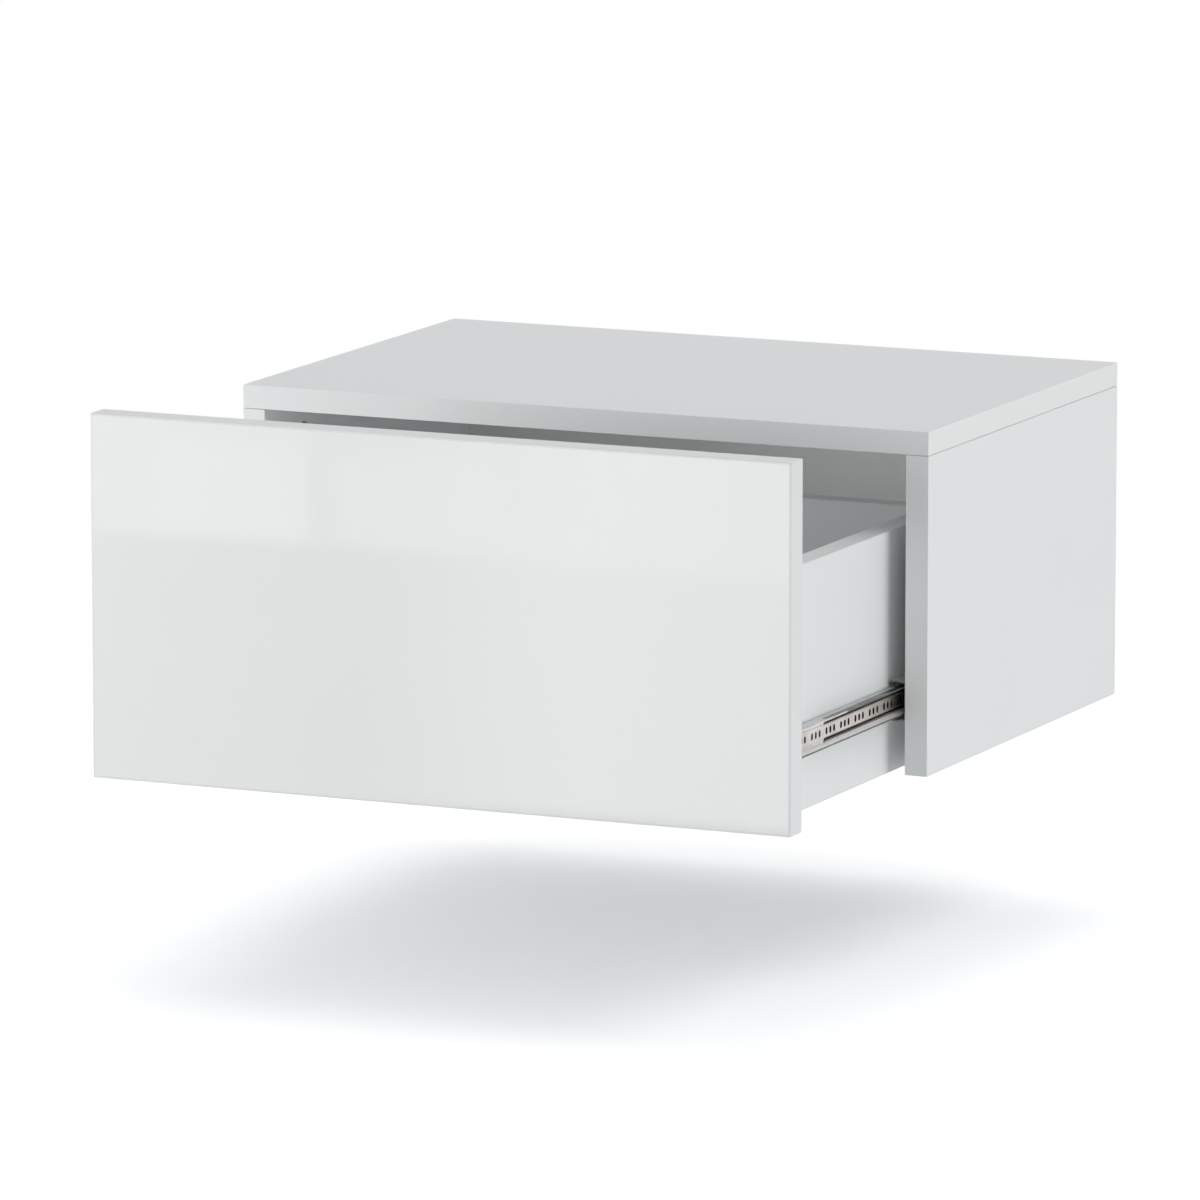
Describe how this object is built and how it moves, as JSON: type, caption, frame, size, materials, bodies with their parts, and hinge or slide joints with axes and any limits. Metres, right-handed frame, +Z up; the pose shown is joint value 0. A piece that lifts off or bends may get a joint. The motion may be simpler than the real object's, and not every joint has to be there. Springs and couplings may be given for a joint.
{
  "type": "floating nightstand",
  "caption": "Wall-hung bedside cabinet with one wide drawer on ball runners; the glossy front stands above the top as its grip.",
  "frame": {"origin": "on the wall, in the middle of the hanging rail's rear face", "axes": "+X to the right as seen from the room, +Y into the wall, +Z up; the drawer opens towards -Y"},
  "size_m": [0.5, 0.562, 0.2429],
  "materials": {
    "melamine_board": "white satin melamine on chipboard, edges banded in the same white",
    "drawer_board": "white satin melamine on chipboard, thin edge banding",
    "gloss_front": "high-gloss white lacquer on fibreboard",
    "fibreboard": "thin hard fibreboard, white lacquered on the inner face",
    "zinc_rail": "bright zinc on cold-rolled steel sheet",
    "hanger_plate": "zinc-plated pressed steel",
    "ball_steel": "bright steel balls in a zinc-plated cage",
    "cam_lock": "bare zinc die casting",
    "fastener_steel": "zinc-plated steel",
    "bumper": "clear soft polyurethane"
  },
  "bodies": {
    "cabinet": {"top_panel": "melamine_board", "side_panel_left": "melamine_board", "side_panel_right": "melamine_board", "hanging_rail": "melamine_board", "back_panel": "fibreboard", "cabinet_rail_left": "zinc_rail", "cabinet_rail_right": "zinc_rail", "keyhole_hanger_left": "hanger_plate", "keyhole_hanger_right": "hanger_plate", "top_cam_lock_left_front": "cam_lock", "top_cam_lock_left_rear": "cam_lock", "top_cam_lock_right_front": "cam_lock", "top_cam_lock_right_rear": "cam_lock", "rail_cam_lock_left": "cam_lock", "rail_cam_lock_right": "cam_lock", "top_cam_bolt_left_front": "fastener_steel", "top_cam_bolt_left_rear": "fastener_steel", "top_cam_bolt_right_front": "fastener_steel", "top_cam_bolt_right_rear": "fastener_steel", "rail_cam_bolt_left": "fastener_steel", "rail_cam_bolt_right": "fastener_steel", "hanger_screw_left_a": "fastener_steel", "hanger_screw_left_b": "fastener_steel", "hanger_screw_right_a": "fastener_steel", "hanger_screw_right_b": "fastener_steel", "cabinet_rail_screw_left_front": "fastener_steel", "cabinet_rail_screw_left_rear": "fastener_steel", "cabinet_rail_screw_right_front": "fastener_steel", "cabinet_rail_screw_right_rear": "fastener_steel"},
    "drawer": {"drawer_front": "gloss_front", "drawer_side_left": "drawer_board", "drawer_side_right": "drawer_board", "drawer_back": "drawer_board", "drawer_bottom": "fibreboard", "drawer_rail_left": "zinc_rail", "drawer_rail_right": "zinc_rail", "drawer_rail_screw_left_front": "fastener_steel", "drawer_rail_screw_left_rear": "fastener_steel", "drawer_rail_screw_right_front": "fastener_steel", "drawer_rail_screw_right_rear": "fastener_steel", "front_cam_lock_left_lower": "cam_lock", "front_cam_lock_left_upper": "cam_lock", "front_cam_lock_right_lower": "cam_lock", "front_cam_lock_right_upper": "cam_lock", "front_cam_bolt_left_lower": "fastener_steel", "front_cam_bolt_left_upper": "fastener_steel", "front_cam_bolt_right_lower": "fastener_steel", "front_cam_bolt_right_upper": "fastener_steel", "drawer_back_screw_left_lower": "fastener_steel", "drawer_back_screw_left_upper": "fastener_steel", "drawer_back_screw_right_lower": "fastener_steel", "drawer_back_screw_right_upper": "fastener_steel", "bumper_left_lower": "bumper", "bumper_left_upper": "bumper", "bumper_right_lower": "bumper", "bumper_right_upper": "bumper"},
    "ball_cages": {"ball_cage_left": "ball_steel", "ball_cage_right": "ball_steel"}
  },
  "joints": [
    {"name": "drawer_slide", "type": "slide", "parent": "cabinet", "child": "drawer", "axis": [0, -1, 0], "range_m": [-0.206, 0.017]},
    {"name": "cage_roll", "type": "slide", "parent": "cabinet", "child": "ball_cages", "axis": [0, -1, 0], "range_m": [-0.103, 0.0085]}
  ],
  "couplings": [
    {"joint": "cage_roll", "follows": "drawer_slide", "ratio": 0.5}
  ]
}
